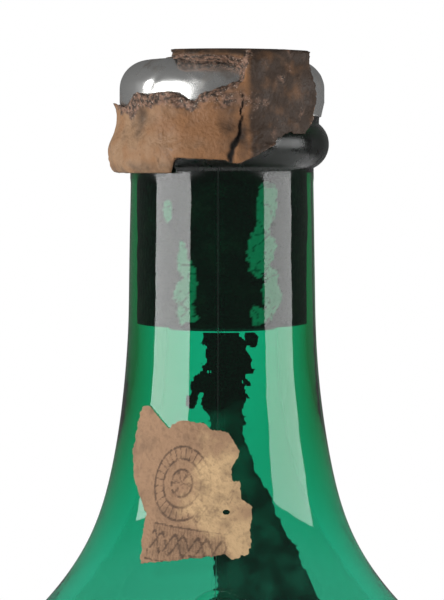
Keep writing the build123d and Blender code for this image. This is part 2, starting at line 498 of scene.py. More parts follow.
def arc_through(first: Point, middle: Point, last: Point, steps: int) -> list[Point]:
    """Points of the arc through three points.

    Args:
        first: Where the arc starts.
        middle: A point on its way.
        last: Where it ends.
        steps: Number of segments.

    Returns:
        The points, ends included.
    """
    (ax, ay), (bx, by), (cx, cy) = first, middle, last
    spread = 2 * (ax * (by - cy) + bx * (cy - ay) + cx * (ay - by))
    squares = [ax * ax + ay * ay, bx * bx + by * by, cx * cx + cy * cy]
    x = (squares[0] * (by - cy) + squares[1] * (cy - ay) + squares[2] * (ay - by)) / spread
    y = (squares[0] * (cx - bx) + squares[1] * (ax - cx) + squares[2] * (bx - ax)) / spread
    angles = [math.degrees(math.atan2(py - y, px - x)) for px, py in (first, middle, last)]
    for i in (1, 2):
        while angles[i] - angles[i - 1] > 180:
            angles[i] -= 360
        while angles[i] - angles[i - 1] < -180:
            angles[i] += 360
    return arc((x, y), math.hypot(ax - x, ay - y), angles[0], angles[2], steps)


def clamped_curve(knots: list[Point], start: float, end: float) -> Callable[[float], float]:
    """A smooth radius over height through knots, with a set slope at each end.

    Args:
        knots: Radius and height of each knot, from low to high.
        start: Slope of the radius at the lowest knot.
        end: Slope at the highest knot.

    Returns:
        A function from height to radius.
    """
    radii = np.array([knot[0] for knot in knots])
    heights = np.array([knot[1] for knot in knots])
    count = len(knots)
    spans = np.diff(heights)
    system = np.eye(count)
    wanted = np.zeros(count)
    wanted[0], wanted[-1] = start, end
    for i in range(1, count - 1):
        system[i, i - 1 : i + 2] = (1 / spans[i - 1], 2 / spans[i - 1] + 2 / spans[i], 1 / spans[i])
        rises = np.diff(radii)
        wanted[i] = 3 * (rises[i - 1] / spans[i - 1] ** 2 + rises[i] / spans[i] ** 2)
    slopes = np.linalg.solve(system, wanted)

    def radius_at(height: float) -> float:
        """Radius of the curve at a height.

        Args:
            height: Height above the ground.

        Returns:
            The radius.
        """
        i = int(np.clip(np.searchsorted(heights, height) - 1, 0, count - 2))
        t = (height - heights[i]) / spans[i]
        return float(
            (2 * t**3 - 3 * t**2 + 1) * radii[i]
            + (t**3 - 2 * t**2 + t) * spans[i] * slopes[i]
            + (3 * t**2 - 2 * t**3) * radii[i + 1]
            + (t**3 - t**2) * spans[i] * slopes[i + 1]
        )

    return radius_at


def deselect() -> None:
    """Clears the selection, so that an operator acts on the new piece alone."""
    if bpy.context.object is not None and bpy.context.object.mode != "OBJECT":
        bpy.ops.object.mode_set(mode="OBJECT")
    bpy.ops.object.select_all(action="DESELECT")


def spun(name: str, outline: list[Point], steps: int) -> bpy.types.Object:
    """Spins an open half section about the axis into a closed piece.

    Args:
        name: The piece's name.
        outline: Radius and height of each point, from axis to axis or from rim to rim.
        steps: Segments round the axis.

    Returns:
        The piece, smooth shaded.
    """
    deselect()
    bpy.ops.mesh.primitive_circle_add(vertices=len(outline), radius=0.01)
    piece = bpy.context.object
    piece.name = piece.data.name = name
    for vertex, (radius, height) in zip(piece.data.vertices, outline):
        vertex.co = (radius, 0.0, height)
    ends = {0, len(outline) - 1}
    select_where(piece, "EDGE", lambda edge: set(edge.vertices) == ends)
    bpy.ops.mesh.delete(type="EDGE")
    bpy.ops.mesh.select_all(action="SELECT")
    bpy.ops.mesh.spin(steps=steps, angle=math.tau, center=(0, 0, 0), axis=(0, 0, 1))
    bpy.ops.mesh.select_all(action="SELECT")
    bpy.ops.mesh.remove_doubles(threshold=1e-6)
    bpy.ops.mesh.normals_make_consistent(inside=False)
    bpy.ops.object.mode_set(mode="OBJECT")
    bpy.ops.object.shade_smooth()
    return piece


def select_where(piece: bpy.types.Object, kind: str, rule: Callable[[object], bool]) -> None:
    """Enters edit mode with only the edges or the faces that fit a rule selected.

    Args:
        piece: The active piece.
        kind: EDGE or FACE.
        rule: True for each one to select.
    """
    bpy.ops.object.mode_set(mode="EDIT")
    bpy.ops.mesh.select_mode(type=kind)
    bpy.ops.mesh.select_all(action="DESELECT")
    bpy.ops.object.mode_set(mode="OBJECT")
    for part in piece.data.edges if kind == "EDGE" else piece.data.polygons:
        part.select = rule(part)
    bpy.ops.object.mode_set(mode="EDIT")


def reshape(piece: bpy.types.Object, move: Callable[[Vector], Vector]) -> None:
    """Moves every vertex of a piece by a rule.

    Args:
        piece: The piece.
        move: The rule from a vertex's place to its new one.
    """
    for vertex in piece.data.vertices:
        vertex.co = move(vertex.co)
    piece.data.update()


def carry(piece: bpy.types.Object, name: str, value: Callable[[Vector], float]) -> None:
    """Stores a value on each vertex of a piece for its material to read.

    Args:
        piece: The piece.
        name: The attribute's name.
        value: The rule from a vertex's place to its value.
    """
    layer = piece.data.attributes.new(name, "FLOAT", "POINT")
    layer.data.foreach_set("value", [value(vertex.co) for vertex in piece.data.vertices])


def azimuth(place: Vector) -> float:
    """Degrees round the axis from the front, positive to the right."""
    return math.degrees(math.atan2(place.x, -place.y))


def smooth(low: float, high: float, value: float) -> float:
    """Smooth step from 0 at low to 1 at high.

    Args:
        low: Value at or below which the step is 0.
        high: Value at or above which it is 1.
        value: The value.

    Returns:
        The step, from 0 to 1.
    """
    t = min(1.0, max(0.0, (value - low) / (high - low)))
    return t * t * (3 - 2 * t)


def rough_noise(place: Vector, scale: float, octaves: int = 3) -> float:
    """Fractal noise at a place, about -1 to 1.

    Args:
        place: The place.
        scale: Cells per metre.
        octaves: Layers of ever finer noise.

    Returns:
        The noise.
    """
    return noise.fractal(place * scale, 0.8, 2.1, octaves)


def blob(place: Point, centre: Point, reach: Point) -> float:
    """1 at the middle of a patch and 0 at its edge and beyond, negative outside.

    Args:
        place: A place, in the same two measures as the patch.
        centre: The patch's middle.
        reach: Its half size each way.

    Returns:
        How far inside the patch the place is.
    """
    return 1 - math.hypot((place[0] - centre[0]) / reach[0], (place[1] - centre[1]) / reach[1])


def in_patches(place: Point, patches: Patches) -> float:
    """How far inside the nearest of some patches a place is.

    Args:
        place: A place, in the same two measures as the patches.
        patches: The middle and the half size each way of each patch.

    Returns:
        1 at a middle, 0 at an edge and negative outside.
    """
    return max(blob(place, centre, reach) for centre, reach in patches)


def on_wall(turn: float, radius: float, height: float) -> Vector:
    """A point at an azimuth in degrees, a radius and a height.

    Args:
        turn: Azimuth from the front, positive to the right.
        radius: Distance from the axis.
        height: Height above the ground.

    Returns:
        The point.
    """
    angle = math.radians(turn)
    return Vector((radius * math.sin(angle), -radius * math.cos(angle), height))


def inside(place: Point, outline: list[Point]) -> bool:
    """True if a place is inside a closed outline.

    Args:
        place: The place.
        outline: The corners in order, the first not repeated.

    Returns:
        Whether it is inside.
    """
    x, y = place
    hit = False
    for (ax, ay), (bx, by) in zip(outline, outline[1:] + outline[:1]):
        if (ay > y) != (by > y) and x < (bx - ax) * (y - ay) / (by - ay) + ax:
            hit = not hit
    return hit


def finish_piece(piece: bpy.types.Object, node: str, material: bpy.types.Material) -> None:
    """Dresses a piece and ties it to the frame.

    Args:
        piece: The new piece.
        node: The CAD node that it stands for.
        material: Its finish.
    """
    piece.data.materials.clear()
    piece.data.materials.append(material)
    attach(piece, "root")
    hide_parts(node)
    LOG.info("%s: %d faces", piece.name, len(piece.data.polygons))


# --- The bottle ---------------------------------------------------------------------------


@dataclass
class Glass:
    """The glass: its outline outside and inside, and its dressed mesh."""

    top: float
    body_radius: float
    wall: float = 0.0033
    heel: float = 0.006
    foot_width: float = 0.003
    punt: float = 0.020
    floor: float = 0.006
    trough: float = 0.003
    shoulder_drop: float = 0.114
    shoulder_radius: float = 0.030
    shoulder_angle: float = 43.5
    neck_radius: float = 0.0155
    collar_radius: float = 0.018
    groove_radius: float = 0.0164
    lip_radius: float = 0.017
    lip_round: float = 0.0046
    bore: float = 0.0094
    cork_length: float = 0.045
    throat_drop: float = 0.0825
    throat_flare: float = 0.0081
    root_drop: float = 0.0689
    root_flare: float = 0.0034
    root_wall: float = 0.006
    taper_drop: float = 0.0403
    taper_flare: float = 0.00036
    taper_slope: float = -0.016
    collar_foot_drop: float = 0.0178
    collar_crest_drop: float = 0.0146
    collar_top_drop: float = 0.0104
    hollow_drop: float = 0.0091
    lip_foot_drop: float = 0.0078
    steps: int = 288
    seam_azimuth: float = -2.3
    seam_height: float = 0.00007
    wobble: float = 0.00006
    seal_drop: float = 0.0908
    seal_radius: float = 0.007
    seal_stand: float = 0.0009
    seal_rings: tuple[float, float] = (0.0061, 0.0043)
    ring_height: float = 0.0006
    ring_reach: float = 0.00055
    seal_lean: tuple[float, float, float] = (0.0, -0.73, 0.68)

    def __post_init__(self) -> None:
        """Works out the curves of the neck, outside and inside."""
        self.shoulder_foot = self.top - self.shoulder_drop
        self.shoulder_end = self.on_shoulder(0.0)
        self.inner_end = self.on_shoulder(self.wall)
        lean = -math.tan(math.radians(self.shoulder_angle))
        outer = [self.shoulder_end, (self.neck_radius + self.throat_flare, self.top - self.throat_drop)]
        outer += [(self.neck_radius + self.root_flare, self.top - self.root_drop)]
        outer += [(self.neck_radius + self.taper_flare, self.top - self.taper_drop)]
        self.outer_curve = clamped_curve(outer, lean, self.taper_slope)
        root_inside = self.neck_radius + self.root_flare - self.root_wall
        inner = [self.inner_end, (root_inside, self.top - self.root_drop)]
        inner += [(self.bore, self.top - self.cork_length)]
        self.inner_curve = clamped_curve(inner, lean, 0.0)

    def drop(self, place: Vector) -> float:
        """Millimetres that a place is below the lip."""
        return (self.top - place.z) * 1000

    def on_shoulder(self, depth: float) -> Point:
        """End of the shoulder's arc, at a depth inside the glass.

        Args:
            depth: How deep inside the glass, in metres.

        Returns:
            Its radius and height.
        """
        turn = math.radians(self.shoulder_angle)
        radius = self.shoulder_radius - depth
        middle = self.body_radius - self.shoulder_radius
        return (middle + radius * math.cos(turn), self.shoulder_foot + radius * math.sin(turn))

    def outer_radius(self, height: float) -> float:
        """Radius of the outside of the neck and shoulder at a height.

        Args:
            height: Height above the ground.

        Returns:
            The radius.
        """
        above = height - self.top + self.taper_drop
        if above > 0:
            share = above / (self.taper_drop - self.collar_foot_drop)
            return self.neck_radius + self.taper_flare * max(0.0, 1 - share)
        if height > self.shoulder_end[1]:
            return self.outer_curve(height)
        rise = max(0.0, height - self.shoulder_foot)
        return self.body_radius - self.shoulder_radius + math.sqrt(self.shoulder_radius**2 - rise**2)

    def inner_radius(self, height: float) -> float:
        """Radius of the inside of the neck and shoulder at a height.

        Args:
            height: Height above the ground.

        Returns:
            The radius.
        """
        if height > self.top - self.cork_length:
            return self.bore
        if height > self.inner_end[1]:
            return self.inner_curve(height)
        rise = max(0.0, height - self.shoulder_foot)
        arc_radius = self.shoulder_radius - self.wall
        return self.body_radius - self.shoulder_radius + math.sqrt(arc_radius**2 - rise**2)

    def outside(self) -> list[Point]:
        """Outline of the outside, from the punt up to the mouth.

        Returns:
            The points, from low to high.
        """
        foot = self.body_radius - self.heel - self.foot_width
        punt_radius = (foot**2 + self.punt**2) / (2 * self.punt)
        edge = math.degrees(math.asin(foot / punt_radius))
        points = arc((0.0, self.punt - punt_radius), punt_radius, 90, 90 - edge, 16)
        points += arc((self.body_radius - self.heel, self.heel), self.heel, -90, 0, 10)
        points += self.upright(self.body_radius, self.heel, self.shoulder_foot, 28)
        middle = (self.body_radius - self.shoulder_radius, self.shoulder_foot)
        points += arc(middle, self.shoulder_radius, 0, self.shoulder_angle, 20)[1:]
        low, high = self.shoulder_end[1], self.top - self.collar_foot_drop
        heights = [low + (high - low) * i / 90 for i in range(1, 91)]
        points += [(self.outer_radius(z), z) for z in heights]
        foot_point = points[-1]
        crest = (self.collar_radius, self.top - self.collar_crest_drop)
        groove = (self.groove_radius, self.top - self.collar_top_drop)
        points += arc_through(foot_point, crest, groove, 20)[1:]
        hollow = (self.groove_radius + 0.00009, self.top - self.hollow_drop)
        points += arc_through(groove, hollow, (self.lip_radius, self.top - self.lip_foot_drop), 6)[1:]
        lip_centre = (self.lip_radius - self.lip_round, self.top - self.lip_round)
        return points + arc(lip_centre, self.lip_round, 0, 90, 12)

    def within(self) -> list[Point]:
        """Outline of the inside, from the mouth down to the floor on the axis.

        Returns:
            The points, from high to low.
        """
        low, high = self.inner_end[1], self.top
        heights = [high - (high - low) * i / 100 for i in range(101)]
        points = [(self.inner_radius(z), z) for z in heights]
        middle = (self.body_radius - self.shoulder_radius, self.shoulder_foot)
        points += arc(middle, self.shoulder_radius - self.wall, self.shoulder_angle, 0, 16)[1:]
        return points + self.cavity_floor()

    def cavity_floor(self) -> list[Point]:
        """The body's inner wall, the trough round the floor, and the dome over the punt.

        Returns:
            The points, from high to low.
        """
        foot = self.body_radius - self.heel - self.foot_width
        dome = (foot**2 + self.punt**2) / (2 * self.punt) + self.floor
        centre = self.punt + self.floor - dome
        side = self.body_radius - self.wall
        middle = side - self.trough
        trough = (middle, centre + math.sqrt((dome + self.trough) ** 2 - middle**2))
        touch = math.degrees(math.atan2(trough[1] - centre, trough[0]))
        points = self.upright(side, self.shoulder_foot, trough[1], 28)
        points += arc(trough, self.trough, 0, touch - 180, 8)[1:]
        return points + arc((0.0, centre), dome, touch, 90, 16)[1:]

    @staticmethod
    def upright(radius: float, start: float, end: float, steps: int) -> list[Point]:
        """Points up or down a straight side, its start left out."""
        return [(radius, start + (end - start) * i / steps) for i in range(1, steps + 1)]

    def build(self) -> bpy.types.Object:
        """Models the glass with its mould seams and its blank round seal.

        Returns:
            The dressed piece.
        """
        piece = spun("bottle_glass", self.outside() + self.within(), self.steps)
        self.refine_seal(piece)
        reshape(piece, self.worked)
        carry(piece, "dirt", self.dirt)
        # darker towards the bottom of the neck and over the shoulder
        carry(piece, "dim_below", lambda place: 1 - smooth(self.top - 0.084, self.top - 0.05, place.z))
        finish_piece(piece, "bottle", GreenGlass().make())
        return piece

    def refine_seal(self, piece: bpy.types.Object) -> None:
        """Divides the faces round the glass seal finely enough to raise its rings.

        Args:
            piece: The piece, which is active.
        """
        reach = self.seal_radius + 0.001
        low, high = self.top - self.seal_drop - reach, self.top - self.seal_drop + reach

        def beside_seal(face: bpy.types.MeshPolygon) -> bool:
            """True for an outer face at the seal.

            Args:
                face: A face.

            Returns:
                Whether it is one.
            """
            place = face.center
            outer = math.hypot(place.x, place.y) > self.outer_radius(place.z) - 0.001
            return low < place.z < high and abs(place.x) < reach + 0.0005 and place.y < 0 and outer

        select_where(piece, "FACE", beside_seal)
        bpy.ops.mesh.subdivide(number_cuts=3, quadcorner="INNERVERT")
        bpy.ops.object.mode_set(mode="OBJECT")

    def worked(self, place: Vector) -> Vector:
        """Where the mould seams, the seal and the wobble of old glass put a point.

        Args:
            place: A point, in metres.

        Returns:
            Where the point ends up.
        """
        radius = math.hypot(place.x, place.y)
        outward = Vector((place.x, place.y, 0.0)) / max(radius, 1e-6)
        lift = 0.0
        outer = radius > self.outer_radius(place.z) - 0.0004
        if outer and self.shoulder_foot - 0.17 < place.z < self.top - 0.0185:
            turn = abs((azimuth(place) - self.seam_azimuth + 90) % 180 - 90)
            lift += self.seam_height * max(0.0, 1 - turn / 1.3)
        if outer and place.z < self.top - 0.02:
            settle = smooth(self.heel, self.heel + 0.01, place.z)
            lift += settle * self.wobble * (noise.noise(place * 60.0) - 1)
        height = Vector((0.0, 0.0, 0.0))
        centre = Vector((0.0, -self.outer_radius(self.top - self.seal_drop), self.top - self.seal_drop))
        span = (place - centre).length
        if outer and place.y < 0 and span < self.seal_radius + 0.0005:
            pad = self.seal_stand * (1 - smooth(self.seal_radius - 0.0009, self.seal_radius, span))
            crests = (max(0.0, 1 - ((span - ring) / self.ring_reach) ** 2) for ring in self.seal_rings)
            height = Vector(self.seal_lean) * (pad + self.ring_height * sum(crests))
        return place + outward * lift + height

    def dirt(self, place: Vector) -> float:
        """How dirty the glass is: most round the collar and under it, a little at the foot.

        Args:
            place: A point, in metres.

        Returns:
            How dirty it is, from 0 to 1.
        """
        radius = math.hypot(place.x, place.y)
        if radius < self.outer_radius(place.z) - 0.001:
            return 0.0
        collar = smooth(self.top - 0.021, self.top - 0.0172, place.z)
        return 0.85 * collar + 0.3 * (1 - smooth(0.0, 0.012, place.z))


@dataclass
class Contents:
    """What the glass holds: the cork, the wine and the dried deposit."""

    glass: Glass
    reach: float = 0.00006
    deposit_thickness: float = 0.0005
    deposit_turns: tuple[float, float] = (-30.0, 48.0)
    cork_edge: float = 0.0006
    meniscus: float = 0.0004
    film_patches: Patches = (
        ((-33, 38.5), (13, 6.5)),
        ((-36, 32.5), (6, 4)),
        ((-52, 25), (7, 2)),
        ((42, 24), (13, 5)),
        ((38, 31.5), (16, 5)),
        ((46, 39), (12, 6)),
        ((33, 42.5), (14, 2)),
    )
    crust_patches: Patches = (
        ((2, 47), (19, 4)),
        ((3, 51), (18, 6)),
        ((13, 50), (13, 5)),
        ((-5, 54), (13, 5)),
        ((4, 57), (15, 7)),
        ((27, 46), (7, 1.8)),
        ((-18, 54), (9, 1.6)),
        ((-26, 56.5), (6, 1.4)),
        ((5, 64), (9, 7)),
    )

    def cork(self) -> bpy.types.Object:
        """The cork, just into the wall, with film where it has shrunk from the glass.

        Returns:
            The dressed piece.
        """
        low, high = (corner.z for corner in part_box("cork"))
        radius, edge = self.glass.bore + self.reach, self.cork_edge
        side = [(radius, low + edge + (high - low - 2 * edge) * i / 150) for i in range(151)]
        points = [(0.0, low), (radius * 0.5, low), (radius - edge, low + 0.0001), *side]
        piece = spun("cork_stopper", points + [(radius - edge, high), (0.0, high)], 180)
        carry(piece, "film", self.cork_film)
        finish_piece(piece, "cork", StainedCork().make())
        return piece

    def cork_film(self, place: Vector) -> float:
        """Where pale film shows on the cork: torn patches at the left and the right.

        Args:
            place: A point, in metres.

        Returns:
            How much film there is, from 0 to 1.
        """
        spot = (azimuth(place), self.glass.drop(place))
        torn = in_patches(spot, self.film_patches) + 0.35 * rough_noise(place, 420.0, 4)
        cracks = smooth(0.0, 0.05, abs(noise.noise(place * 500.0)) - 0.015)
        return smooth(0.16, 0.22, torn) * (0.35 + 0.65 * cracks)

    def wine(self) -> bpy.types.Object:
        """The wine, just into the wall, climbing a little where it meets the glass.

        Returns:
            The dressed piece.
        """
        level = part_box("wine")[1].z
        flat, climb = level - 0.001, level + self.meniscus
        floor = reversed(self.glass.cavity_floor())
        wall = [(r + self.reach if r > 0 else 0.0, z - self.reach) for r, z in floor]
        wall = [point for point in wall if point[1] < flat]
        side = self.glass.body_radius - self.glass.wall + self.reach
        surface = [(side, climb), (side - 0.0008, climb - 0.001), (side - 0.003, flat), (0.0, flat)]
        piece = spun("wine_fill", wall + surface, 160)
        finish_piece(piece, "wine", DarkWine().make())
        return piece

    def deposit(self) -> bpy.types.Object:
        """The crust and film on the front of the inner wall, as one thin raised sheet.

        Returns:
            The dressed piece.
        """
        low, high = (corner.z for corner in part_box("deposit"))
        rows, columns = 230, 120
        left, right = self.deposit_turns
        sheet = grid_sheet("dried_deposit", columns, rows)

        def lay(place: Vector) -> Vector:
            """Wraps the flat sheet on the inner wall.

            Args:
                place: A point, in metres.

            Returns:
                Where the point ends up.
            """
            height = low + (high - low) * place.y
            radius = self.glass.inner_radius(height) + self.reach
            return on_wall(left + (right - left) * place.x, radius, height)

        reshape(sheet, lay)
        crop_faces(sheet, lambda place: self.deposit_cover(place) > 0)
        carry(sheet, "crust", self.crust)
        thicken(sheet, self.deposit_thickness, inward=True)
        finish_piece(sheet, "deposit", DriedDeposit().make())
        return sheet

    def deposit_cover(self, place: Vector) -> float:
        """Above 0 where deposit lies: a crust with arms, then a film that widens downwards.

        Args:
            place: A point, in metres.

        Returns:
            Above 0 where deposit lies.
        """
        turn, drop = azimuth(place), self.glass.drop(place)
        crust = in_patches((turn, drop), self.crust_patches)
        torn = 0.45 * rough_noise(place, 700.0, 5)
        edge_right = 14 + 26 * smooth(55, 86, drop)
        edge_left = -9 + 6 * smooth(62, 84, drop)
        film = min(turn - edge_left, edge_right - turn) / 6 + 0.5 * rough_noise(place, 420.0, 5)
        below = smooth(55, 57, drop) - 0.5
        return max(crust + torn + 0.02, min(film, below + 0.2))

    def crust(self, place: Vector) -> float:
        """1 in the black crust near the cork, 0 in the film below it."""
        drop = self.glass.drop(place)
        return 1 - smooth(56, 64, drop + 2 * rough_noise(place, 300.0))


def grid_sheet(name: str, columns: int, rows: int) -> bpy.types.Object:
    """A flat sheet of small faces over the unit square.

    Args:
        name: The sheet's name.
        columns: Faces across.
        rows: Faces up.

    Returns:
        The sheet.
    """
    deselect()
    bpy.ops.mesh.primitive_grid_add(x_subdivisions=columns, y_subdivisions=rows, size=1, location=(0, 0, 0))
    sheet = bpy.context.object
    sheet.name = sheet.data.name = name
    reshape(sheet, lambda place: Vector((place.x + 0.5, place.y + 0.5, 0.0)))
    return sheet


def crop_faces(sheet: bpy.types.Object, keep: Callable[[Vector], bool]) -> None:
    """Deletes the faces whose middles a rule doesn't keep, then evens the torn edge.

    Args:
        sheet: The sheet.
        keep: True for a middle whose face stays.
    """
    bpy.context.view_layer.objects.active = sheet
    select_where(sheet, "FACE", lambda face: not keep(face.center))
    bpy.ops.mesh.delete(type="FACE")
    bpy.ops.mesh.select_all(action="DESELECT")
    bpy.ops.mesh.select_mode(type="EDGE")
    bpy.ops.mesh.select_non_manifold()
    bpy.ops.mesh.vertices_smooth(factor=0.5, repeat=2)
    bpy.ops.object.mode_set(mode="OBJECT")


def thicken(sheet: bpy.types.Object, thickness: float, inward: bool = False) -> None:
    """Gives a sheet on a round wall its thickness.

    Args:
        sheet: The sheet.
        thickness: Metres.
        inward: True if it grows towards the axis.
    """
    deselect()
    sheet.select_set(True)
    bpy.context.view_layer.objects.active = sheet
    bpy.ops.object.mode_set(mode="EDIT")
    bpy.ops.mesh.select_all(action="SELECT")
    bpy.ops.mesh.normals_make_consistent(inside=False)
    bpy.ops.object.mode_set(mode="OBJECT")
    solid = sheet.modifiers.new("Thickness", "SOLIDIFY")
    solid.thickness = thickness
    face = sheet.data.polygons[len(sheet.data.polygons) // 2]
    faces_out = face.normal.x * face.center.x + face.normal.y * face.center.y > 0
    solid.offset = -1.0 if faces_out == inward else 1.0
    bpy.ops.object.modifier_apply(modifier=solid.name)
    bpy.ops.object.shade_smooth_by_angle(angle=math.radians(50))


@dataclass
class PaperStamp:
    """The torn paper stamp, which follows the neck."""

    glass: Glass
    thickness: float = 0.00012
    lift: float = 0.00005
    turns: tuple[float, float] = (-62.0, 16.0)
    hole: tuple[Point, Point] = ((0.7, 73.6), (0.6, 0.35))
    rubbed_patches: Patches = (((12, 14), (8, 9)), ((17, 6), (4, 6)))
    band_foot: float = 0.9
    band_top: float = 6.5
    emblem: Point = (4.6, 13.4)
    rings: tuple[float, float, float] = (2.2, 3.9, 5.9)

    def outline(self) -> list[Point]:
        """Torn outline in the front view: across, and drop below the lip, in millimetres.

        Returns:
            The corners in order.
        """
        points = [(-13.2, 57.3), (-11.8, 57.0), (-10.4, 58.6), (-8.8, 60.3), (-6.8, 58.9), (-2.8, 59.4)]
        points += [(-1.9, 60.3), (1.0, 60.8), (2.9, 63.9), (1.6, 66.9), (1.6, 68.6), (2.9, 68.6)]
        points += [(3.1, 71.4), (4.8, 72.7), (4.7, 79.1), (3.7, 80.3), (1.6, 81.0), (0.5, 80.1)]
        points += [(-13.3, 82.1), (-12.8, 76.6), (-12.4, 74.3), (-13.4, 72.1), (-14.5, 69.1)]
        return points + [(-14.7, 64.4)]

    def build(self) -> bpy.types.Object:
        """Models the stamp: a fine sheet wrapped on the glass, torn to its outline and wrinkled.

        Returns:
            The dressed piece.
        """
        low, high = (corner.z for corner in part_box("label"))
        sheet = grid_sheet("paper_stamp", 150, 150)
        left, right = self.turns

        def lay(place: Vector) -> Vector:
            """Wraps the flat sheet on the glass, with a few wrinkles.

            Args:
                place: A point, in metres.

            Returns:
                Where the point ends up.
            """
            height = low + (high - low) * place.y
            spot = Vector((place.x * 20, place.y * 24, 3.0))
            crease = max(0.0, 1 - abs(place.x * 20 - 14.5 - 0.5 * (place.y * 24 - 8)) / 0.5)
            wrinkle = 0.00005 * noise.noise(spot * 0.8) + 0.00007 * crease * smooth(2, 5, place.y * 24)
            radius = self.glass.outer_radius(height) + self.lift + max(-0.00003, wrinkle)
            return on_wall(left + (right - left) * place.x, radius, height)

        reshape(sheet, lay)
        shape = self.outline()

        def torn(place: Vector) -> bool:
            """True inside the torn outline, whose edge frays a little.

            Args:
                place: A point, in metres.

            Returns:
                Whether it is inside.
            """
            fray = 0.22 * rough_noise(place, 900.0, 4)
            spot = (place.x * 1000 + fray, self.glass.drop(place) + fray)
            return inside(spot, shape) and blob(spot, *self.hole) < 0

        crop_faces(sheet, torn)
        carry(sheet, "rubbed", self.rubbed)
        carry(sheet, "ink", self.ink)
        thicken(sheet, self.thickness)
        finish_piece(sheet, "label", StampPaper().make())
        return sheet

    def flat(self, place: Vector) -> Point:
        """Millimetres across and up the flattened stamp, from its lower left corner.

        Args:
            place: A point, in metres.

        Returns:
            Millimetres across and up.
        """
        across = math.radians(azimuth(place) + 35) * 23.0
        up = 82.0 - self.glass.drop(place)
        lean = math.radians(6)
        return (across * math.cos(lean) - up * math.sin(lean), up * math.cos(lean) + across * math.sin(lean))

    def rubbed(self, place: Vector) -> float:
        """Where the paper is rubbed pale: its middle, its right side and its torn edges."""
        pale = in_patches(self.flat(place), self.rubbed_patches)
        return smooth(-0.1, 0.6, pale + 0.35 * rough_noise(place, 260.0))

    def ink(self, place: Vector) -> float:
        """A generic faded print, weaker where the paper is rubbed.

        Args:
            place: A point of the sheet.

        Returns:
            How inky the point is, from 0 to 1.
        """
        x, y = self.flat(place)
        printed = max(self.scroll_band(x, y), self.ringed_emblem(x, y), self.leaf_sprig(x, y))
        return printed * (1 - 0.75 * self.rubbed(place))

    def scroll_band(self, x: float, y: float) -> float:
        """Ink of the hatched band of scroll waves along the foot.

        Args:
            x: Millimetres across the flattened stamp.
            y: Millimetres up it.

        Returns:
            The ink, from 0 to 1.
        """
        if not (0.8 < y < 6.6 and 0.6 < x < 14.5):
            return 0.0
        middle = (self.band_foot + self.band_top) / 2
        waves = (middle + 1.5 * math.sin(x * 1.5), middle - 1.5 * math.sin(x * 1.5 + 0.8))
        near = min(abs(y - wave) for wave in waves)
        hatch = 0.5 + 0.5 * math.cos((x + 0.15 * y) * math.tau / 0.55)
        border = min(abs(y - self.band_foot), abs(y - self.band_top))
        return max(1 - smooth(0.22, 0.4, near), 0.5 * hatch, 1 - smooth(0.08, 0.2, border))

    def ringed_emblem(self, x: float, y: float) -> float:
        """Ink of the rings, with ticks between the outer two and petals in the inner one.

        Args:
            x: Millimetres across the flattened stamp.
            y: Millimetres up it.

        Returns:
            The ink, from 0 to 1.
        """
        span = math.hypot(x - self.emblem[0], y - self.emblem[1])
        turn = math.atan2(y - self.emblem[1], x - self.emblem[0])
        inner, middle, outer = self.rings
        ink = max(1 - smooth(0.1, 0.26, abs(span - ring)) for ring in self.rings)
        if middle < span < outer:
            ink = max(ink, smooth(0.82, 0.95, math.cos(turn * 28)))
        if span < inner:
            ink = max(ink, 0.7 * smooth(0.2, 0.7, math.cos(turn * 6)))
        return ink

    @staticmethod
    def leaf_sprig(x: float, y: float) -> float:
        """Ink of the curved sprig: a stem and its row of leaves.

        Args:
            x: Millimetres across the flattened stamp.
            y: Millimetres up it.

        Returns:
            The ink, from 0 to 1.
        """
        if not 8 < x < 15:
            return 0.0
        stem = abs(y - 8.6 - 0.09 * (x - 8) ** 2)
        leaf = abs(math.sin((x - 8) * 2.2)) * 0.9
        return max(1 - smooth(0.1, 0.3, abs(stem - leaf)), 1 - smooth(0.08, 0.22, stem))


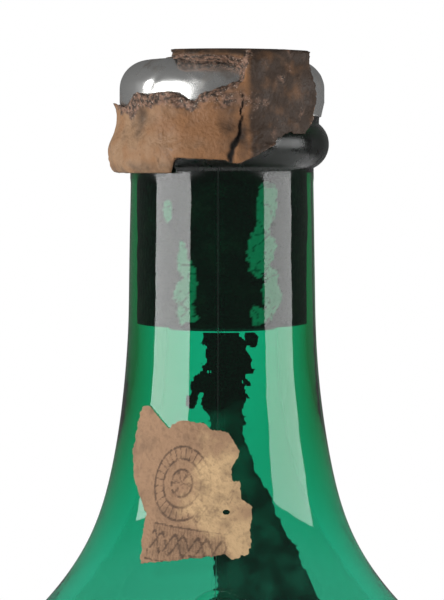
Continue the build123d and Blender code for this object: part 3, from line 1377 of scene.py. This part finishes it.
@dataclass
class Closure:
    """What closes the mouth: the tin cap and the broken wax over it."""

    glass: Glass
    skin: float = 0.0003
    gap: float = 0.00003
    hem_drop: float = 0.0092
    turn_in_drop: float = 0.0086
    fold: float = 0.00008
    crease: float = 0.00016
    voxel: float = 0.00029
    facet_azimuth: float = 41.0
    facet_distance: float = 0.0179
    waist_share: float = 0.62
    brow_edge: float = -0.0078
    right_edge: float = 0.0151
    sill_turns: tuple[float, ...] = (-67, -58, -46, -39, -26, -15, -12, 7, 14)
    sill_drops: tuple[float, ...] = (7, 8, 5.5, 6, 5.3, 7.1, 5.7, 3.4, -2)
    crack_drops: tuple[float, ...] = (3.8, 8.3, 12.0, 14.5, 17.5)
    crack_turns: tuple[float, ...] = (11, 10, 9, 5, 4)
    # painted shade: under the broken sill at the left, and round the crack in the middle
    shade_patches: Patches = (((-47, 9.5), (14, 4)), ((4, 10), (9, 7)), ((10, 13), (6, 6)))

    def tin(self) -> bpy.types.Object:
        """The tin cap: a creased skin over the lip bead and the top of the cork.

        Returns:
            The dressed piece.
        """
        glass, skin, gap = self.glass, self.skin, self.gap
        centre = (glass.lip_radius - glass.lip_round, glass.top - glass.lip_round)
        hem, turn_in = glass.top - self.hem_drop, glass.top - self.turn_in_drop
        over = [(radius, glass.top + skin) for radius in (0.0, 0.004, 0.008)]
        over += arc(centre, glass.lip_round + skin, 90, 0, 24)
        over += [(glass.lip_radius + skin, glass.top - drop) for drop in (0.0055, 0.0068)]
        over += [(glass.groove_radius + 0.0005, turn_in), (glass.groove_radius + 0.00035, hem)]
        under = [(glass.groove_radius + 0.0001, hem), (glass.groove_radius + 0.0002, turn_in)]
        under += [(glass.lip_radius + gap, glass.top - 0.0066)]
        under += arc(centre, glass.lip_round + gap, 0, 90, 24)
        piece = spun("tin_cap_skin", over + under + [(0.0, glass.top + gap)], 220)

        def crease(place: Vector) -> Vector:
            """Presses fine folds into the skin, never below the glass.

            Args:
                place: A point, in metres.

            Returns:
                Where the point ends up.
            """
            radius = math.hypot(place.x, place.y)
            fold = self.fold * noise.noise(Vector((azimuth(place) * 0.09, place.z * 700, 1.0)))
            sharp = self.crease * max(0.0, 1 - abs(azimuth(place) + 44 - (place.z - 0.29) * 2500) / 4)
            lift = -abs(fold) - sharp if radius > 0.011 else 0.0
            scale = 1 + lift / max(radius, 0.001)
            return Vector((place.x * scale, place.y * scale, place.z))

        reshape(piece, crease)
        finish_piece(piece, "tin_cap", BrightTin().make())
        return piece

    def wax(self, node: bpy.types.Object) -> bpy.types.Object:
        """The wax: the node's solid, remeshed, slumped and roughened where it broke.

        Args:
            node: The CAD node of the seal.

        Returns:
            The dressed piece.
        """
        deselect()
        piece = node.copy()
        piece.data = node.data.copy()
        piece.name = piece.data.name = "broken_wax"
        piece.parent = None
        bpy.context.collection.objects.link(piece)
        piece.hide_set(False)
        piece.select_set(True)
        bpy.context.view_layer.objects.active = piece
        bpy.ops.object.mode_set(mode="EDIT")
        bpy.ops.mesh.select_all(action="SELECT")
        bpy.ops.mesh.remove_doubles(threshold=1e-6)
        bpy.ops.object.mode_set(mode="OBJECT")
        blocks = piece.modifiers.new("Blocks", "REMESH")
        blocks.mode = "VOXEL"
        blocks.voxel_size = self.voxel
        bpy.ops.object.modifier_apply(modifier=blocks.name)
        soften = piece.modifiers.new("Soften", "SMOOTH")
        soften.factor, soften.iterations = 0.5, 3
        bpy.ops.object.modifier_apply(modifier=soften.name)
        for name in ("broken", "soot", "warm", "crack"):
            carry(piece, name, getattr(self, name))
        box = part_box("wax_seal")
        reshape(piece, lambda place: self.weathered(place, box))
        bpy.ops.object.shade_smooth()
        finish_piece(piece, "wax_seal", SealingWax().make())
        return piece

    def broken_back(self, place: Vector, inner: float) -> Vector:
        """Breaks the brow back off the left and right of the cap, and draws in the left waist.

        Args:
            place: A point of the wax.
            inner: Radius of the glass beside it.

        Returns:
            Where the point ends up.
        """
        turn, drop = azimuth(place), self.glass.drop(place)
        jag = 0.0007 * rough_noise(place, 380.0, 4)
        moved = place.copy()
        radius = math.hypot(place.x, place.y)
        waist = smooth(5.0, 8.0, drop) * (1 - smooth(9.5, 14.5, drop))
        waist *= smooth(18, 55, -turn) * (1 - smooth(110, 150, -turn))
        if radius > inner and waist > 0:
            slimmer = inner + (radius - inner) * (1 - self.waist_share * waist)
            moved *= slimmer / radius
            moved.z = place.z
        edge = self.brow_edge + jag
        if drop < 2.4 and -150 < turn < -4 and moved.x < edge:
            share = smooth(-150, -128, turn)
            moved.x += share * (edge - moved.x)
            if share > 0.9:
                moved.z = max(moved.z, self.glass.top + 0.00034)
        limit = self.right_edge + jag - 0.0009 * (1 - smooth(0.0, 5.0, drop))
        if drop < 13 and 35 < turn and moved.x > limit:
            moved.x = limit
        return moved

    def skin_radius(self, height: float) -> float:
        """Radius of the unbroken wax at a height.

        Args:
            height: Height above the ground.

        Returns:
            The radius.
        """
        drop = (self.glass.top - height) * 1000  # millimetres
        crest = 0.0194 - 0.00014 * max(0.0, drop - 14.6) ** 2
        brow = 0.0197 - 0.0032 * (1 - math.sqrt(max(0.0, 1 - (max(0.0, 1.7 - drop) / 3.2) ** 2)))
        waist = 0.0012 * math.exp(-(((drop - 10.0) / 2.6) ** 2))
        return (crest if drop > 12 else brow) - waist

    def broken(self, place: Vector) -> float:
        """1 on the faces where the wax broke, 0 on its old skin.

        Args:
            place: A point, in metres.

        Returns:
            The share, from 0 to 1.
        """
        radius = math.hypot(place.x, place.y)
        turn, drop = azimuth(place), self.glass.drop(place)
        if drop < -1.2 and radius < 0.0165:
            return 0.0
        lean = math.cos(math.radians(turn - self.facet_azimuth))
        facet = self.facet_distance / max(0.5, lean) if drop < 14 else 1.0
        depth = min(self.skin_radius(place.z), facet) - radius
        sill = float(np.interp(turn, self.sill_turns, self.sill_drops))
        band = 1 - abs(drop - sill - 0.5) / 1.7 if -72 < turn < 15 else 0.0
        rim = smooth(0.1, 0.35, band + 0.35 * rough_noise(place, 420.0, 4))
        return max(rim, smooth(0.0003, 0.0007, depth + 0.00025 * rough_noise(place, 500.0)))

    def crack(self, place: Vector) -> float:
        """1 in the narrow crack that runs down the middle to the hem, pressed in and painted near-black as
        shade.

        Args:
            place: A point, in metres.

        Returns:
            The share, from 0 to 1.
        """
        drop = self.glass.drop(place)
        if not 6 < drop < 18.5:
            return 0.0
        middle = float(np.interp(drop, self.crack_drops, self.crack_turns))
        width = 0.6 + 1.1 * smooth(10, 15, drop)
        away = abs(azimuth(place) - middle + 1.2 * noise.noise(place * 900.0))
        return 1 - smooth(width * 0.5, width * 1.3, away)

    def soot(self, place: Vector) -> float:
        """Dark patches: the flat right face, the top, the hem, and painted shade under the broken sill by
        the window and round the crack.

        Args:
            place: A point, in metres.

        Returns:
            The share of dark, up to 0.93.
        """
        turn, drop = azimuth(place), self.glass.drop(place)
        # painted shade under the broken sill and round the crack
        lip_and_crack_shade = 0.95 * in_patches((turn, drop), self.shade_patches)
        face = 1.058 * smooth(11, 16, turn) * (1 - smooth(130, 150, abs(turn)))
        top = 1.035 * (1 - smooth(-0.9, 0.6, drop))
        hem = 0.35 * smooth(15.5, 18.5, drop)
        value = max(lip_and_crack_shade, face, top, hem) + 0.4 * rough_noise(place, 330.0, 4) - 0.12
        return min(0.93, max(0.0, value))

    def warm(self, place: Vector) -> float:
        """From the ochre of the left to the orange brown of the middle.

        Args:
            place: A point, in metres.

        Returns:
            The share of orange, from 0 to 1.
        """
        turn = azimuth(place)
        ochre_to_orange = smooth(-45, -8, turn + 22 * rough_noise(place, 150.0))
        return ochre_to_orange * (1 - 0.4 * smooth(60, 160, abs(turn)))

    def weathered(self, place: Vector, box: tuple[Vector, Vector]) -> Vector:
        """Slumps the skin in soft lumps and leaves the breaks crumbly, inside the node's box.

        Args:
            place: A point, in metres.
            box: Lowest and highest corner of the node.

        Returns:
            Where the point ends up.
        """
        radius = math.hypot(place.x, place.y)
        outward = Vector((place.x, place.y, 0.0)) / max(radius, 1e-6)
        below = place.z < self.glass.top - self.glass.collar_foot_drop
        inner = self.glass.outer_radius(place.z) if below else 0.0172
        free = smooth(inner, inner + 0.0009, radius)
        lumps = 0.0004 * rough_noise(place, 170.0, 2) + 0.00012 * rough_noise(place, 600.0, 3)
        crumbs = 0.00028 * rough_noise(place, 1100.0, 4) * self.broken(place) - 0.0006 * self.crack(place)
        drape = 0.0003 * math.sin(math.radians(azimuth(place)) * 9 + place.z * 400)
        moved = place + outward * free * (lumps + crumbs + drape * smooth(-0.2, 0.2, lumps * 1000))
        moved.z += max(crumbs, -0.0003) * 0.8
        moved = self.broken_back(moved, inner)
        for axis in range(3):
            moved[axis] = min(box[1][axis], max(box[0][axis], moved[axis]))
        return moved


# --- Studio -------------------------------------------------------------------------------


@dataclass
class Studio:
    """A pale floor, a white surround, two soft boxes and the camera."""

    camera_distance: float = 0.405
    camera_height: float = 0.2757
    pitch: float = 2.95
    focal_length: float = 143.4
    sensor: float = 36.0
    glow: float = 0.36
    shine: float = 0.11
    floor_radius: float = 0.62
    floor_fade: float = 0.12
    box_distance: float = 1.0
    box_height: float = 0.5
    box_tilt: float = 2.5
    aim_drop: float = 0.02

    def build(self) -> None:
        """Sets everything up and puts the view settings right."""
        self.surround()
        self.floor()
        self.softbox("left_softbox", -64.0, 0.92, 6.2)
        self.softbox("right_softbox", 74.0, 0.76, 4.4)
        self.camera()
        bpy.context.scene.view_settings.view_transform = "Standard"

    def surround(self) -> None:
        """White for the camera and through glass, dim for light and for reflections."""
        world = bpy.data.worlds.new("surround")
        bpy.context.scene.world = world
        world.use_nodes = True
        tree = world.node_tree
        backdrop = tree.nodes["Background"]
        path = tree.nodes.new("ShaderNodeLightPath")
        shown = tree.nodes.new("ShaderNodeMath")
        shown.operation = "MAXIMUM"
        tree.links.new(path.outputs["Is Camera Ray"], shown.inputs[0])
        tree.links.new(path.outputs["Is Transmission Ray"], shown.inputs[1])
        dim = tree.nodes.new("ShaderNodeMapRange")
        dim.inputs["To Min"].default_value = self.glow
        dim.inputs["To Max"].default_value = self.shine
        tree.links.new(path.outputs["Is Glossy Ray"], dim.inputs["Value"])
        ranged = tree.nodes.new("ShaderNodeMapRange")
        tree.links.new(dim.outputs["Result"], ranged.inputs["To Min"])
        ranged.inputs["To Max"].default_value = 1.0
        tree.links.new(shown.outputs[0], ranged.inputs["Value"])
        tree.links.new(ranged.outputs["Result"], backdrop.inputs["Strength"])
        backdrop.inputs["Color"].default_value = (1.0, 1.0, 1.0, 1.0)

    def floor(self) -> None:
        """A pale round floor that fades to white at its edge."""
        deselect()
        bpy.ops.mesh.primitive_circle_add(vertices=96, radius=self.floor_radius, fill_type="NGON")
        ground = bpy.context.object
        ground.name = "floor"
        finish = Finish("pale_floor")
        finish.set(Base_Color=(0.9, 0.9, 0.9, 1.0), Roughness=0.9)
        far = finish.node("ShaderNodeVectorMath", operation="LENGTH")
        finish.link(finish.place, far.inputs[0])
        fade = finish.node("ShaderNodeMapRange", interpolation_type="SMOOTHSTEP")
        fade.inputs["From Min"].default_value = self.floor_fade
        fade.inputs["From Max"].default_value = self.floor_radius * 0.85
        finish.link(far.outputs["Value"], fade.inputs["Value"])
        white = finish.node("ShaderNodeEmission")
        blend = finish.node("ShaderNodeMixShader")
        finish.link(fade.outputs["Result"], blend.inputs[0])
        finish.link(finish.shader.outputs[0], blend.inputs[1])
        finish.link(white.outputs[0], blend.inputs[2])
        finish.link(blend.outputs[0], finish.output.inputs["Surface"])
        ground.data.materials.append(finish.material)

    def softbox(self, name: str, turn: float, width: float, glow: float) -> None:
        """A soft box a metre away, facing the neck.

        Args:
            name: The lamp's name.
            turn: Its azimuth from the front, positive to the right.
            width: Its width in metres.
            glow: Its radiance.
        """
        aim = Vector((0.0, 0.0, self.camera_height - self.aim_drop))
        tilt = math.radians(self.box_tilt)
        level, rise = self.box_distance * math.cos(tilt), self.box_distance * math.sin(tilt)
        place = aim + on_wall(turn, level, rise)
        bpy.ops.object.light_add(type="AREA", location=place)
        lamp = bpy.context.object
        lamp.name = name
        lamp.rotation_euler = (aim - place).to_track_quat("-Z", "Y").to_euler()
        lamp.data.shape = "RECTANGLE"
        lamp.data.size, lamp.data.size_y = width, self.box_height
        lamp.data.energy = glow * math.pi * width * self.box_height
        lamp.visible_camera = False
        lamp.visible_transmission = False

    def camera(self) -> None:
        """The camera at collar height, looking slightly down the front."""
        place = Vector((0.0, -self.camera_distance, self.camera_height))
        bpy.ops.object.camera_add(location=place, rotation=(math.radians(90 - self.pitch), 0.0, 0.0))
        camera = bpy.context.object
        camera.data.sensor_fit = "VERTICAL"
        camera.data.sensor_height = self.sensor
        camera.data.lens = self.focal_length
        camera.data.clip_start = 0.01
        bpy.context.scene.camera = camera


def main() -> None:
    """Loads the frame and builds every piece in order."""
    logging.basicConfig(level=logging.INFO, format="%(name)s %(message)s")
    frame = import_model()
    low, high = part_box("bottle")
    glass = Glass(top=high.z, body_radius=high.x)
    glass.build()
    contents = Contents(glass)
    contents.cork()
    contents.wine()
    contents.deposit()
    closure = Closure(glass)
    closure.tin()
    closure.wax(frame["nodes"]["wax_seal"])
    PaperStamp(glass).build()
    Studio().build()


if __name__ == "__main__":
    main()
